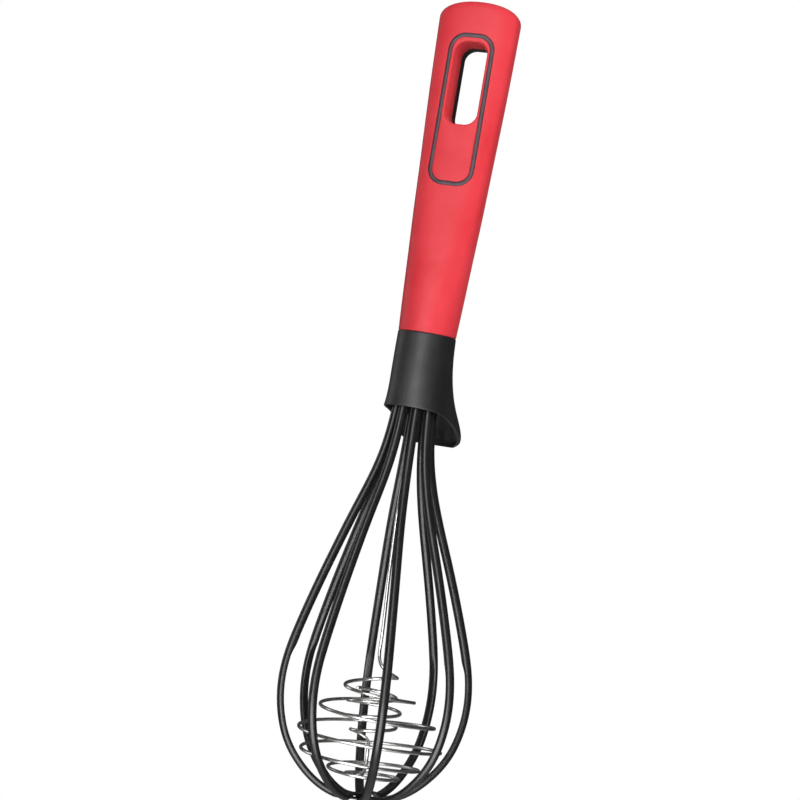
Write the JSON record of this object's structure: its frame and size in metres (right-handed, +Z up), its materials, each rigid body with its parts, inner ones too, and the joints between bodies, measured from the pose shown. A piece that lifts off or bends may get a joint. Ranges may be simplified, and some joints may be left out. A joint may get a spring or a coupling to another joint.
{
  "type": "balloon whisk",
  "caption": "Balloon whisk with a tapered soft-grip handle, hanging slot, flared pan rest, nylon strand loops and a steel coil beater inside.",
  "frame": {"origin": "on the handle's axis, where a peg bears on the upper wall of the hanging slot", "axes": "+Z up along the handle's axis towards its end, -Y the front with the inlay line"},
  "size_m": [0.0675, 0.0674, 0.3028],
  "materials": {
    "core_nylon": "satin",
    "grip_red": "soft-touch matt",
    "inlay_grey": "matt",
    "collar_nylon": "satin, fine moulded texture",
    "holder_nylon": "satin",
    "strand_nylon": "satin",
    "pin_steel": "turned",
    "beater_steel": "polished drawn wire"
  },
  "bodies": {
    "whisk": {"handle_core": "core_nylon", "grip_overmould": "grip_red", "front_inlay": "inlay_grey", "collar": "collar_nylon", "cross_pin": "pin_steel", "strand_holder": "holder_nylon", "strand_loop_1": "strand_nylon", "strand_loop_2": "strand_nylon", "strand_loop_3": "strand_nylon", "strand_loop_4": "strand_nylon"},
    "ferrule": {"beater_ferrule": "pin_steel"},
    "beater": {"beater_stem": "beater_steel", "beater_turn_1": "beater_steel", "beater_turn_2": "beater_steel", "beater_turn_3": "beater_steel", "beater_turn_4": "beater_steel", "beater_turn_5": "beater_steel", "beater_return": "beater_steel", "beater_inner_turn_1": "beater_steel", "beater_inner_turn_2": "beater_steel", "beater_inner_turn_3": "beater_steel"}
  },
  "joints": [
    {"name": "beater_sway_front", "type": "hinge", "parent": "whisk", "child": "ferrule", "pos_m": [0, 0, -0.123], "axis": [1, 0, 0], "range_deg": [-0.4, 0.4], "stiffness_Nm_per_rad": 0.6},
    {"name": "beater_sway_side", "type": "hinge", "parent": "ferrule", "child": "beater", "pos_m": [0, 0, -0.123], "axis": [0, 1, 0], "range_deg": [-0.4, 0.4], "stiffness_Nm_per_rad": 0.6}
  ]
}
